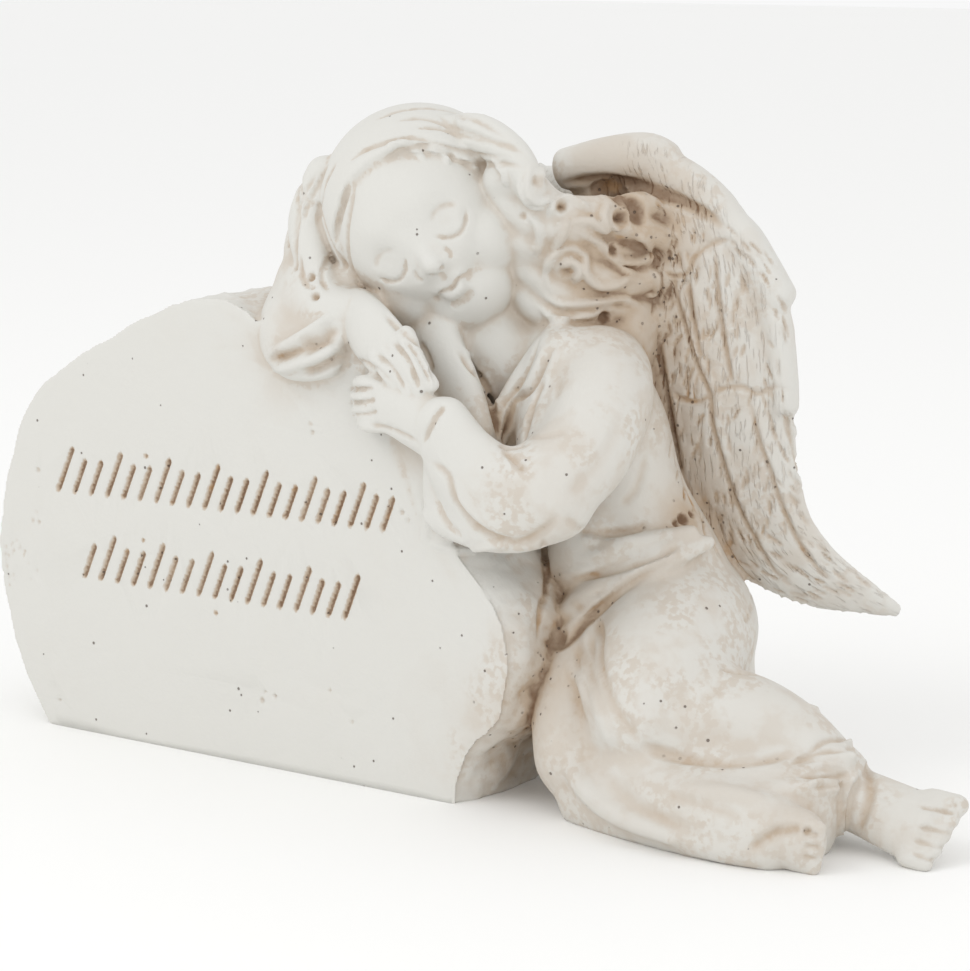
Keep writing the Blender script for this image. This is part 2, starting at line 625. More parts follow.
hairLines = {
    "strandCut": (1.3, 0.75),  # width, depth
    "curlRidge": (1.7, -1.3),
    "strands": [
        [(372, 121), (403, 110), (439, 109), (477, 121), (510, 141)],
        [(393, 121), (423, 118), (454, 128), (490, 141), (515, 151)],
        [(413, 128), (439, 128), (469, 138), (505, 145), (525, 154)],
        [(380, 164), (403, 149), (433, 146), (454, 159), (479, 164), (505, 164), (525, 167)],
        [(345, 165), (365, 150), (395, 140), (420, 138), (450, 148), (480, 155), (510, 158)],
        [(337, 161), (326, 182), (322, 200), (318, 225)],
        [(329, 164), (318, 184), (308, 205), (302, 225)],
        [(349, 179), (345, 200), (337, 228), (334, 250)],
        [(320, 170), (306, 190), (298, 210), (295, 232), (298, 252)],
        [(355, 185), (350, 210), (347, 235), (350, 262), (362, 288)],
        [(330, 255), (322, 275), (328, 292)], [(300, 255), (302, 275), (310, 290)],
    ],
    "curls": [
        [(525, 141), (538, 159), (541, 177), (534, 190)],
        [(530, 167), (528, 192), (538, 202), (553, 197)],
        [(548, 217), (555, 205), (566, 198), (579, 203), (592, 210)],
        [(551, 291), (546, 274), (553, 256), (569, 248), (584, 256), (586, 274), (599, 286), (617, 285),
         (630, 279), (643, 284)],
        [(592, 233), (609, 253), (622, 269), (637, 274)],
        [(579, 233), (599, 243), (615, 258), (632, 263), (650, 258), (648, 248)],
        [(541, 294), (561, 304), (581, 304), (602, 302), (622, 299), (643, 307)],
        [(538, 307), (558, 320), (579, 317), (599, 314)],
        [(570, 222), (590, 222), (606, 230), (604, 214), (612, 200)],
        [(600, 196), (612, 192), (624, 198), (628, 212), (620, 226), (608, 226)],
        [(562, 270), (570, 262), (580, 270), (574, 283)],
        [(634, 236), (646, 240), (650, 252), (642, 262)], [(650, 270), (658, 280), (655, 292), (645, 296)],
        [(520, 178), (522, 192), (530, 204), (545, 208)], [(528, 214), (538, 226), (540, 240), (534, 256)],
        [(383, 152), (398, 143), (412, 147), (424, 160)], [(428, 148), (443, 152), (448, 163)],
        [(452, 158), (468, 160), (478, 170)], [(492, 160), (504, 172), (506, 186)],
        [(556, 232), (566, 224), (560, 240), (552, 252)],
    ],
    "hollows": [
        (622, 218, 3.2, 3.4), (615, 184, 3, 2.6), (612, 251, 2, 2), (604, 317, 2, 2), (561, 206, 2.2, 2.4),
        (523, 216, 1.4, 1), (311, 277, 1.7, 1.7), (315, 296, 1.8, 1.9), (538, 182, 2.2, 2),
        (566, 272, 2.6, 1),
    ],
}


def drawHair(carving):
    for line in hairLines["strands"]:
        carving.line(line, *hairLines["strandCut"])
    for line in hairLines["curls"]:
        carving.line(line, *hairLines["curlRidge"])
    carving.spots(hairLines["hollows"])


crownHair = {  # strands from the crown down the back and the pillow side of the head
    "strands": 30,
    "turns": (0.95, 4.9),  # radians round the head from the face, over the pillow side
    "reach": (0.22, 2.1),  # radians down from the crown
    "wave": 0.13,
    "tilt": 0.35,  # radians from the head's top to the crown
    "width": 1.3,
    "depth": 0.85,
}


def onHead(spot):
    return (spot - head["centre"]).length < head["reach"]


def crownRay(turn, down):
    # towards the middle of the head, from a turn round it and an angle down from the crown
    tilt = crownHair["tilt"]
    up = head["up"] * math.cos(tilt) - head["front"] * math.sin(tilt)
    front = head["front"] * math.cos(tilt) + head["up"] * math.sin(tilt)
    out = up * math.cos(down) + (front * math.cos(turn) - head["side"] * math.sin(turn)) * math.sin(down)
    return head["centre"] + out * 60, -out


def drawCrown(carving):
    first, last = crownHair["turns"]
    top, low = crownHair["reach"]
    for i in range(crownHair["strands"]):
        turn = first + (last - first) * i / (crownHair["strands"] - 1)
        start = top + 0.25 * (i % 3)
        line = []
        for k in range(7):
            down = start + (low - start) * k / 6
            line.append((turn + crownHair["wave"] * math.sin(down * 4 + i * 0.9), down))
        carving.line(line, crownHair["width"], crownHair["depth"], ray=crownRay, step=0.02, only=onHead)


clothFolds = {
    "cuts": [  # line, width, depth
        # forearm roll, sleeve slack, armpit and side
        ([(428, 461), (447, 475), (457, 503), (478, 527), (504, 541), (525, 542), (546, 529), (560, 513)],
         2.4, 1.3),
        ([(436, 500), (446, 522), (462, 538)], 2.2, 0.7),
        ([(565, 513), (575, 527), (600, 533), (636, 530), (645, 521)], 1.8, 0.7),
        ([(624, 414), (608, 451), (584, 480), (566, 496)], 3.0, 0.5),
        ([(648, 451), (636, 489), (622, 505)], 2.0, 0.5),
        ([(520, 438), (545, 436), (567, 432)], 1.8, 0.4),
        ([(560, 380), (556, 400)], 2.0, 0.3),
        # collar and its bands
        ([(457, 348), (471, 367), (487, 388), (494, 414), (501, 442)], 1.8, 1.4),
        ([(541, 334), (523, 378), (504, 404), (499, 421)], 1.4, 0.9),
        ([(553, 348), (532, 388), (513, 404), (506, 433), (504, 446)], 1.5, 1.4),
        ([(546, 376), (532, 409), (523, 444)], 1.4, 1.2),
        ([(500, 446), (512, 448), (524, 446)], 1.5, 1.4),
        ([(504, 449), (514, 460), (525, 471)], 1.6, 1.0),
        # shirt hem and the hollow over the lap
        ([(574, 579), (612, 572), (655, 558), (678, 547)], 1.5, 0.9),
        ([(541, 640), (560, 645), (579, 630), (600, 608), (636, 578), (692, 549)], 2.4, 1.2),
        ([(541, 534), (546, 558), (546, 593), (541, 607), (537, 645)], 1.6, 0.9),
        ([(590, 595), (612, 590), (640, 574)], 1.6, 0.5),
        ([(570, 600), (585, 612)], 2.2, 0.5),
        # thigh, knee and calf
        ([(597, 612), (601, 636), (600, 661), (609, 696), (626, 725), (641, 743)], 2.6, 1.0),
        ([(580, 640), (592, 675), (606, 712), (616, 742)], 1.8, 0.5),
        ([(641, 743), (660, 752), (691, 760), (729, 763), (764, 760), (800, 752)], 2.6, 1.0),
        ([(721, 668), (738, 672), (758, 674)], 1.8, 0.8),
        ([(700, 700), (716, 692), (724, 680)], 2.4, 0.5),
        # gathers at the hems, ankle and right foot
        ([(866, 758), (870, 790), (856, 837)], 2.2, 1.2),
        ([(790, 764), (820, 752), (848, 750)], 1.5, 1.0),
        ([(798, 776), (828, 778), (850, 774)], 1.4, 0.9),
        ([(812, 788), (832, 786), (848, 784)], 1.3, 0.8),
        ([(804, 757), (826, 741), (850, 740)], 1.3, 0.8),
        ([(748, 850), (778, 832), (803, 828)], 2.2, 1.3),
        ([(660, 790), (700, 806), (745, 818)], 2.2, 0.5),
        ([(600, 770), (640, 806), (700, 836)], 3.0, 0.5),
        # right sleeve
        ([(270, 360), (300, 350), (334, 334)], 1.8, 1.5),
        ([(302, 348), (318, 341), (335, 331)], 3.4, 3.2),
        ([(304, 375), (322, 368), (347, 355)], 2.4, 2.2),
        # hands: gaps between fingers, outlines, cuff
        ([(391, 340), (408, 360), (420, 391)], 1.1, 0.9),
        ([(404, 338), (420, 360), (432, 388)], 1.1, 0.9),
        ([(376, 354), (392, 368), (406, 392)], 1.1, 0.8),
        ([(350, 358), (372, 366), (394, 384)], 1.4, 0.7),
        ([(349, 389), (362, 389), (374, 388)], 1.0, 0.8),
        ([(349, 403), (364, 402), (376, 400)], 1.0, 0.8),
        ([(352, 415), (366, 414), (378, 411)], 1.0, 0.8),
        ([(384, 311), (400, 330), (424, 350), (438, 392)], 1.5, 1.0),
        ([(446, 404), (434, 420), (422, 444)], 1.4, 1.1),
        ([(368, 424), (392, 430), (418, 442)], 1.3, 0.8),
        # toes
        ([(918, 806), (938, 810), (958, 814)], 1.0, 0.8),
        ([(916, 826), (936, 830), (954, 834)], 1.0, 0.7),
        ([(914, 840), (932, 845), (948, 849)], 1.0, 0.7),
        ([(912, 853), (926, 858), (940, 862)], 1.0, 0.7),
        ([(806, 834), (818, 836)], 1.0, 0.7),
        ([(804, 845), (820, 848)], 1.0, 0.7),
        ([(802, 856), (820, 860)], 1.0, 0.6),
    ],
    "ridges": [
        ([(551, 578), (606, 564), (655, 548), (684, 540)], 2.0, 0.7),
        ([(560, 632), (600, 600), (640, 572), (690, 551)], 1.8, 0.8),
        ([(590, 618), (587, 655), (596, 700), (618, 745)], 2.8, 1.1),
        ([(567, 652), (585, 690), (603, 722), (611, 748)], 3.0, 0.9),
        ([(462, 345), (487, 380), (505, 420)], 1.6, 0.6),
        ([(548, 340), (528, 382), (509, 412)], 1.6, 0.7),
        ([(560, 345), (540, 390), (521, 430)], 1.6, 0.6),
        ([(803, 702), (829, 717), (852, 735), (870, 753)], 2.0, 0.8),
        ([(838, 752), (852, 741), (864, 744), (870, 756), (862, 768)], 1.8, 1.5),
        ([(862, 768), (848, 784), (843, 806), (840, 830), (830, 858)], 2.2, 1.6),
        ([(800, 770), (822, 765), (842, 766)], 1.6, 0.9),
        ([(806, 785), (826, 780), (840, 780)], 1.4, 0.8),
        ([(266, 356), (290, 343), (314, 328), (334, 315)], 2.2, 1.5),
        ([(272, 371), (296, 365), (318, 357), (342, 345)], 2.2, 1.7),
        ([(445, 465), (462, 500), (484, 522), (510, 533)], 3.4, 0.8),
        ([(420, 500), (427, 522), (425, 543)], 2.0, 0.6),
        ([(425, 543), (459, 550), (490, 547), (523, 541)], 1.8, 0.8),
        ([(580, 538), (606, 541), (640, 537)], 1.8, 0.5),
        ([(560, 765), (600, 812), (680, 842), (760, 862)], 5.0, 0.8),
    ],
    "spots": [
        (955, 805, 1.2, 0.7), (807, 831, 1.6, 1.6), (683, 519, 2.2, 1.8), (692, 514, 1.6, 1.4),
        (676, 523, 1.5, 1.2), (330, 336, 3, 1.6), (560, 640, 3.5, 1.5),
    ],
}


def drawCloth(carving):
    carving.lines(clothFolds["cuts"])
    for line, width, height in clothFolds["ridges"]:
        carving.line(line, width, -height)
    carving.spots(clothFolds["spots"])


faceLines = {  # side and up in millimetres on the face, width, depth
    "middle": [
        ([(-5.4, -18), (-2.6, -17.8), (0, -18.4), (2.6, -17.8), (5.4, -18)], 1.0, 1.0),
        ([(0, -13.6), (0, -15.6)], 1.2, 0.4),
        ([(-3.6, -22), (0, -22.8), (3.6, -22)], 1.8, 0.6),
    ],
    "pairs": [  # closed lids, their creases and the wings of the nose, drawn on both halves
        ([(4.6, -5.2), (7, -7.6), (9.8, -8.6), (12.6, -7.4), (14.8, -4.6)], 1.0, 0.8),
        ([(6, -2), (8.4, -0.6), (11.2, -0.8), (13.6, -2.4)], 1.3, 0.3),
        ([(4.8, -9), (5.4, -11), (4.6, -12.6)], 0.9, 0.5),
    ],
    "pairedSpots": [(1.6, -13, 1.2, 1.0), (5.6, -18.1, 1.2, 0.6)],  # nostrils, corners of the mouth
    "step": 0.3,
}


def drawFace(carving):
    step = faceLines["step"]
    carving.lines(faceLines["middle"], ray=faceRay, step=step)
    for hand in (-1, 1):
        for line, width, depth in faceLines["pairs"]:
            mirrored = [(hand * side, up) for side, up in line]
            carving.line(mirrored, width, depth, ray=faceRay, step=step)
        for side, up, width, depth in faceLines["pairedSpots"]:
            carving.spot((hand * side, up), width, depth, ray=faceRay)


inscription = {  # two rows of slanted strokes in the picture, none of them a letter
    "rows": [((58, 490), (382, 530), 21), ((84, 577), (344, 618), 17)],
    "tall": 42,
    "low": 32,
    "slant": 0.34,
    "width": 1.15,
    "depth": 0.95,
    "taper": 0.15,
    "step": 1,
}


def drawInscription(carving):
    for number, (start, end, count) in enumerate(inscription["rows"]):
        for i in range(count):
            share = i / (count - 1)
            u = start[0] + (end[0] - start[0]) * share
            v = start[1] + (end[1] - start[1]) * share
            height = inscription["tall"] if i % 3 == number else inscription["low"]
            lean = height * inscription["slant"]
            stroke = [(u, v), (u + lean, v - height)]
            carving.line(stroke, inscription["width"], inscription["depth"],
                         taper=inscription["taper"], step=inscription["step"])


slabPits = {  # a patch of small pits at the slab's left edge and a few more on its face
    "patch": ((8, 560), (30, 40), 46),  # middle, spread and count in the picture
    "width": (0.7, 1.1),
    "patchDepth": (0.2, 0.5),
    "strayDepth": (0.4, 0.8),
    "strays": [
        (265, 692), (262, 700), (275, 696), (310, 424), (312, 432), (146, 456), (143, 540), (330, 690),
        (352, 722), (216, 613), (38, 470), (402, 512), (408, 520), (60, 700),
    ],
}


def drawSlabPits(carving):
    dice = random.Random(3)
    (u, v), (wide, tall), count = slabPits["patch"]
    for _ in range(count):
        spot = (u + dice.gauss(0, wide / 2), v + dice.gauss(0, tall / 2))
        carving.spot(spot, dice.uniform(*slabPits["width"]), dice.uniform(*slabPits["patchDepth"]))
    for spot in slabPits["strays"]:
        carving.spot(spot, dice.uniform(*slabPits["width"]), dice.uniform(*slabPits["strayDepth"]))


wingMap = {
    "inner": [  # the inner and outer edges of the left wing in the picture, root to tip
        (640, 225), (645, 270), (650, 320), (655, 370), (660, 420), (672, 470), (690, 520), (715, 560),
        (750, 590), (790, 606),
    ],
    "outer": [
        (735, 215), (765, 245), (788, 290), (795, 340), (796, 390), (797, 440), (806, 480), (828, 520),
        (858, 555), (896, 592),
    ],
    "shafts": [
        [(675, 276), (677, 299), (685, 326), (695, 360), (709, 394), (712, 424), (722, 461), (736, 502),
         (753, 536), (775, 572), (800, 592)],
        [(688, 276), (691, 306), (698, 346), (701, 360)],
        [(715, 248), (717, 286), (722, 326), (729, 367), (732, 387)],
        [(749, 400), (759, 441), (769, 468), (783, 509), (803, 549), (830, 583)],
        [(780, 400), (793, 448), (810, 502), (840, 546), (884, 583)],
        [(658, 326), (661, 360), (668, 400), (675, 440), (683, 480), (700, 520)],
    ],
    "ends": [
        [(661, 268), (675, 276), (688, 272), (695, 257), (712, 244), (735, 238)],
        [(668, 372), (676, 395), (695, 402), (710, 396), (722, 389), (742, 387), (757, 394), (776, 387),
         (793, 392)],
    ],
    "band": [(556, 186), (585, 181), (612, 180), (640, 186), (671, 197), (702, 212), (727, 230)],
    "recess": [(592, 188), (612, 192), (632, 204), (640, 226)],
    "bandCut": (2.6, 1.5),  # width, depth
    "recessCut": (4, 2.6),
    "endCut": (1.2, 0.7),
    "shaftCut": (1.1, 0.9),
    "shaftRidge": (1.6, -0.5),
    "barbs": 230,
    "barbWide": (0.7, 0.9),
    "barbDeep": (0.4, 0.8),
    "barbLong": (0.025, 0.06),  # shares of the wing's length
    "barbLean": 0.05,  # share of its width
}


def onBack(spot):
    return spot.y > 4


def drawWing(carving):
    inner = smoothRun([list(p) for p in wingMap["inner"]])
    outer = smoothRun([list(p) for p in wingMap["outer"]])
    carving.line(wingMap["band"], *wingMap["bandCut"])
    carving.line(wingMap["recess"], *wingMap["recessCut"])
    for line in wingMap["ends"]:
        carving.line(line, *wingMap["endCut"], only=onBack)
    for line in wingMap["shafts"]:
        carving.line(line, *wingMap["shaftCut"], only=onBack)
        beside = [(u + 6, v - 1) for u, v in line]
        carving.line(beside, *wingMap["shaftRidge"], only=onBack)
    dice = random.Random(7)
    for _ in range(wingMap["barbs"]):
        t, s = dice.uniform(0.02, 0.97), dice.uniform(0.03, 0.98)
        length = dice.uniform(*wingMap["barbLong"])
        lean = dice.uniform(0, wingMap["barbLean"]) * (1 if s < 0.7 and t < 0.75 else -0.6)
        line = []
        for k in range(3):
            a, b = inner(t + length * k / 2), outer(t + length * k / 2)
            share = s + lean * (1 - k)
            line.append((a[0] + (b[0] - a[0]) * share, a[1] + (b[1] - a[1]) * share))
        width, depth = dice.uniform(*wingMap["barbWide"]), dice.uniform(*wingMap["barbDeep"])
        carving.line(line, width, depth, taper=0.8, step=2, only=onBack)


featherBack = {
    "rows": [  # start and end along the wing, feathers across, and how much of a feather the row is shifted
        (0.02, 0.26, 6, 0), (0.2, 0.46, 6, 0.5), (0.4, 0.68, 5, 0), (0.62, 0.99, 4, 0.5),
    ],
    "reach": 0.95,  # share of the wing's half width
    "edgeCut": (1.3, 0.9),  # width, depth
    "shaftRidge": (1.3, -0.5),
    "endCut": (1.4, 1.0),
    "barbs": 160,
    "barbWide": 0.9,
    "barbDeep": (0.3, 0.6),
}


def onWing(wing, t, share):
    # x and z of a place along the wing and across it, from -1 to 1
    at = smoothRun([list(row) for row in wing["spine"]])
    here, ahead, back = aroundOf(at, t)
    run = Vector((ahead[0] - back[0], ahead[2] - back[2])).normalized()
    return here[0] + run.y * here[3] * share, here[2] - run.x * here[3] * share


def drawWingBack(carving, wing):
    reach = featherBack["reach"]
    for start, end, count, shift in featherBack["rows"]:
        for i in range(count + 1):
            share = min(0.96, (i + shift) / count * 2 * reach - reach)
            middle, beyond = share + reach / count, share + 2 * reach / count
            last = end - 0.05 * share * share
            line = [onWing(wing, start + (last - start) * k / 4, share) for k in range(5)]
            carving.line(line, *featherBack["edgeCut"], ray=backRay, taper=0.3)
            if i < count:
                line = [onWing(wing, start + (last - start) * k / 4, middle) for k in range(1, 5)]
                carving.line(line, *featherBack["shaftRidge"], ray=backRay)
                line = [(last, share), (last + 0.03, middle), (last, beyond)]
                line = [onWing(wing, *place) for place in line]
                carving.line(line, *featherBack["endCut"], ray=backRay, taper=0)
    dice = random.Random(11)
    for _ in range(featherBack["barbs"]):
        t, share = dice.uniform(0.02, 0.95), dice.uniform(-0.9, 0.9)
        line = [onWing(wing, t + 0.02 * k, share + 0.04 * k) for k in range(3)]
        depth = dice.uniform(*featherBack["barbDeep"])
        carving.line(line, featherBack["barbWide"], depth, ray=backRay, taper=0.8)


backFolds = [  # x and z of folds on the back of the robe, width, depth
    ([(30, 70), (27, 48), (24, 26), (22, 8)], 3, 1.2), ([(44, 62), (44, 40), (40, 20), (36, 6)], 3.2, 1.3),
    ([(58, 56), (62, 36), (60, 18), (54, 6)], 3.2, 1.2), ([(70, 44), (78, 28), (80, 14), (74, 4)], 3, 1.0),
    ([(80, 34), (92, 20), (98, 8)], 2.6, 0.9), ([(52, 64), (40, 68), (28, 66)], 2.4, 1.0),
]


def drawBack(carving):
    for wing in (wingLeft, wingRight):
        drawWingBack(carving, wing)
    carving.lines(backFolds, ray=backRay)
    drawCrown(carving)


# The brown wash: grooves and shaded places take it, most of all where the picture shows it thick.

washMap = {
    "cut": 0.5,  # share for a carved line
    "cutFull": 1.3,  # millimetres deep that take all of that share
    "hollow": 0.5,  # share for a fine hollow
    "hollowFull": 0.3,
    "shade": 0.42,  # share for a place that little sky reaches
    "shadeFrom": 0.3,  # blocked share of the sky at which it starts
    "shadeRun": 0.55,
    "thin": 0.34,  # how much of the grooves shows away from the thick places
    "thick": 0.8,  # and how much more in them
    "wing": (0.42, 0.3),  # the same two for the left wing
    "wingFrom": (36, 12),  # x and y past which the left wing lies
    "letters": 1.5,  # how much of the inscription's grooves shows
    "lettered": ((-128, -4), -36.5, (30, 85)),  # x from and to, y before which, z from and to
    "stain": 0.5,  # how much a thick place shows without any groove
    "thickest": 1.4,
    "robe": 0.12,  # a faint tint that comes in over the robe
    "robeFrom": (20, 20),  # x at which it starts, and how far on it is full
    "rays": 14,
    "rayUp": (0.25, 0.7),  # height of the lowest ray over the skin, and their run
    "rayTurn": 2.4,  # radians from one ray to the next
    "reach": 26,
    "farLess": 0.6,  # how much less a far thing blocks than a near one
    "lift": 0.4,  # the rays start this far off the skin
    "patches": [  # x, y, z, reach, strength
        (27, 10, 151, 10, 0.85), (38, 16, 146, 10, 0.5), (35, 12, 130, 12, 0.6), (42, 14, 110, 13, 0.4),
        (24, -2, 136, 11, 0.4), (46, 16, 88, 12, 0.22), (-48, -24, 132, 7, 0.5), (28, -14, 56, 8, 0.3),
        (26, -18, 14, 14, 0.7), (31, -20, 30, 11, 0.7), (28, -14, 42, 9, 0.6), (110, -28, 12, 8, 0.2),
        (-60, 0, 124, 20, 0.3), (14, -28, 96, 8, 0.4), (54, 14, 70, 9, 0.28), (68, 28, 62, 14, 0.15),
        (-36, -42, 118, 6, 0.3), (-14, -24, 122, 7, 0.2), (-38, -30, 129, 3.5, 0.7), (56, 2, 73, 4, 0.9),
    ],
}


def writeWash(mesh, values):
    layer = mesh.attributes.get("wash") or mesh.attributes.new("wash", "FLOAT", "POINT")
    layer.data.foreach_set("value", values.astype(np.float32))


def readWash(mesh):
    values = np.empty(len(mesh.vertices), dtype=np.float32)
    mesh.attributes["wash"].data.foreach_get("value", values)
    return values.astype(np.float64)


def hollowWash(mesh, cut):
    # a smoothed copy stands above the hollows
    smooth = withModifiers(mesh.copy(), "smoothed", [("SMOOTH", {"factor": 0.5, "iterations": 50})])
    above = ((placesOf(smooth) - placesOf(mesh)) * placesOf(mesh, "normal")).sum(axis=1)
    bpy.data.meshes.remove(smooth)
    cutShare = np.clip(cut / washMap["cutFull"], 0, 1)
    hollowShare = np.clip(above / washMap["hollowFull"], 0, 1)
    writeWash(mesh, washMap["cut"] * cutShare + washMap["hollow"] * hollowShare)


def blockedSky(mesh):
    # fixed directions round each normal, and how many of them are blocked close by
    tree = surfaceTree(mesh)
    places, normals = placesOf(mesh), placesOf(mesh, "normal")
    lowest, run = washMap["rayUp"]
    ways = []
    for i in range(washMap["rays"]):
        up = lowest + run * (i + 0.5) / washMap["rays"]
        turn = i * washMap["rayTurn"]
        flat = math.sqrt(1 - up * up)
        ways.append((flat * math.cos(turn), flat * math.sin(turn), up))
    shade = np.zeros(len(places))
    for i, (place, normal) in enumerate(zip(places.tolist(), normals.tolist())):
        normal = Vector(normal)
        side = normal.orthogonal().normalized()
        face = normal.cross(side)
        start = Vector(place) + normal * washMap["lift"]
        blocked = 0
        for a, b, c in ways:
            hit = tree.ray_cast(start, side * a + face * b + normal * c, washMap["reach"])
            if hit[0] is not None:
                blocked += 1 - washMap["farLess"] * hit[3] / washMap["reach"]
        shade[i] = blocked / len(ways)
    return shade


def thickPlaces(places):
    thick = np.zeros(len(places))
    for x, y, z, reach, strength in washMap["patches"]:
        away = np.linalg.norm(places - (x, y, z), axis=1) / reach
        thick += strength * np.exp(-0.5 * away * away)
    return np.clip(thick, 0, washMap["thickest"])


def shadeWash(mesh):
    # the grooves, the shade and the thick places together, each as strong as its part of the figure shows it
    places = placesOf(mesh)
    thick = thickPlaces(places)
    shade = np.clip((blockedSky(mesh) - washMap["shadeFrom"]) / washMap["shadeRun"], 0, 1)
    x, y, z = places.T
    (left, right), front, (low, high) = washMap["lettered"]
    lettered = (x > left) & (x < right) & (y < front) & (z > low) & (z < high)
    winged = (x > washMap["wingFrom"][0]) & (y > washMap["wingFrom"][1])
    onWings = washMap["wing"][0] + washMap["wing"][1] * thick
    elsewhere = washMap["thin"] + washMap["thick"] * thick
    groove = readWash(mesh) * np.where(lettered, washMap["letters"], np.where(winged, onWings, elsewhere))
    start, run = washMap["robeFrom"]
    robe = washMap["robe"] * np.clip((x - start) / run, 0, 1) * np.where(winged, 0.5, 1)
    wash = groove + shade * washMap["shade"] * (0.6 + thick) + washMap["stain"] * thick + robe
    writeWash(mesh, np.clip(wash, 0, 1))


guideMap = {
    "steps": 80,  # along a wing
    "deep": 7,  # millimetres before and behind the spine
    "edge": 0.94,  # share of the half width at which the barbs end
    "fade": 6,
    "beyond": 1.3,  # share of the half width up to which places are numbered
}


def featherGuide(mesh):
    # millimetres across and along the nearest wing, and one on the wings, for the barbs of the finish
    places = placesOf(mesh)
    zone, best = np.zeros(len(places)), np.full(len(places), 9.0)
    guide = np.zeros((len(places), 3))
    steps = guideMap["steps"]
    for wing in (wingLeft, wingRight):
        at = smoothRun([list(row) for row in wing["spine"]])
        along, before = 0, None
        for i in range(steps + 1):
            (x, y, z, wide), ahead, back = aroundOf(at, i / steps, 1 / steps)
            run = Vector((ahead[0] - back[0], ahead[2] - back[2])).normalized()
            if before:
                along += math.dist(before, (x, z))
            before = (x, z)
            dx, dz = places[:, 0] - x, places[:, 2] - z
            depth = np.abs(places[:, 1] - y) / guideMap["deep"]
            reach = np.maximum(np.hypot(dx, dz) / wide, depth)
            lengthwise = dx * run.x + dz * run.y
            far = (np.abs(lengthwise) + 3 * depth) / 10
            zone = np.maximum(zone, np.clip(guideMap["fade"] * (guideMap["edge"] - reach), 0, 1))
            nearer = (reach < guideMap["beyond"]) & (far < best)
            best = np.where(nearer, far, best)
            guide[nearer, 0] = (dx * run.y - dz * run.x)[nearer]
            guide[nearer, 1] = (along + lengthwise)[nearer]
    guide[:, 2] = zone
    layer = mesh.attributes.new("feather", "FLOAT_VECTOR", "POINT")
    layer.data.foreach_set("vector", guide.astype(np.float32).ravel())


finishing = {
    "faces": 194000,  # wanted after thinning out
    "sliver": 0.02,  # edges shorter than this go
    "crease": 50,  # degrees; sharper edges stay sharp
}


def cleaned(mesh):
    # slivers go, then every shell but the big one
    bm = bmesh.new()
    bm.from_mesh(mesh)
    bmesh.ops.dissolve_degenerate(bm, dist=finishing["sliver"], edges=bm.edges)
    left = set(bm.verts)
    shells = []
    while left:
        shell = [left.pop()]
        for vert in shell:
            for edge in vert.link_edges:
                other = edge.other_vert(vert)
                if other in left:
                    left.discard(other)
                    shell.append(other)
        shells.append(shell)
    shells.sort(key=len)
    for shell in shells[:-1]:
        bmesh.ops.delete(bm, geom=shell, context="VERTS")
    bmesh.ops.triangulate(bm, faces=bm.faces)
    print("shells taken out", len(shells) - 1, "open edges", sum(not edge.is_manifold for edge in bm.edges))
    bm.to_mesh(mesh)
    bm.free()
    return mesh


def buildAngel():
    figure = buildFigure()
    carving = Carving(figure)
    drawHair(carving)
    drawWing(carving)
    drawCloth(carving)
    drawFace(carving)
    drawInscription(carving)
    drawSlabPits(carving)
    drawBack(carving)
    cut = carving.finish()
    print("carved")
    hollowWash(figure, cut)
    share = min(1, finishing["faces"] / (2 * len(figure.vertices)))
    figure = withModifiers(figure, "angelOnStone", [("DECIMATE", {"ratio": share})])
    figure = cleaned(figure)
    shadeWash(figure)
    featherGuide(figure)
    for face in figure.polygons:
        face.use_smooth = True
    figure.set_sharp_from_angle(angle=math.radians(finishing["crease"]))
    figure.transform(Matrix.Scale(0.001, 4) @ Matrix.Translation(originShift))
    putPlaces(figure, np.clip(placesOf(figure), cadBox[0], cadBox[1]))
    print("washed", len(figure.polygons), "faces")
    return figure


# The stone: ivory, with a beige and brown wash in its hollows, pinholes and a matte grain.

class Paint:
    # a socket whose maths reads as Python

    def __init__(self, tree, socket=None):
        self.tree = tree
        self.socket = socket

    def node(self, kind, settings, inputs, output=0):
        made = self.tree.nodes.new(kind)
        for key, value in settings.items():
            setattr(made, key, value)
        for key, value in inputs.items():
            if isinstance(value, Paint):
                self.tree.links.new(value.socket, made.inputs[key])
            else:
                made.inputs[key].default_value = value
        return Paint(self.tree, made.outputs[output])

    def maths(self, operation, a, b):
        return self.node("ShaderNodeMath", {"operation": operation}, {0: a, 1: b})

    def __add__(self, other):
        return self.maths("ADD", self, other)

    def __truediv__(self, other):
        return self.maths("DIVIDE", self, other)

    def __sub__(self, other):
        return self.maths("SUBTRACT", self, other)

    def __rsub__(self, other):
        return self.maths("SUBTRACT", other, self)

    def __mul__(self, other):
        return self.maths("MULTIPLY", self, other)

    __radd__ = __add__
    __rmul__ = __mul__

    def ramp(self, low, high):
        return self.node("ShaderNodeMapRange", {"interpolation_type": "SMOOTHSTEP"},
                         {"Value": self, "From Min": low, "From Max": high})

    def blend(self, under, over):
        return self.node("ShaderNodeMix", {"data_type": "RGBA"}, {0: self, 6: under, 7: over}, 2)


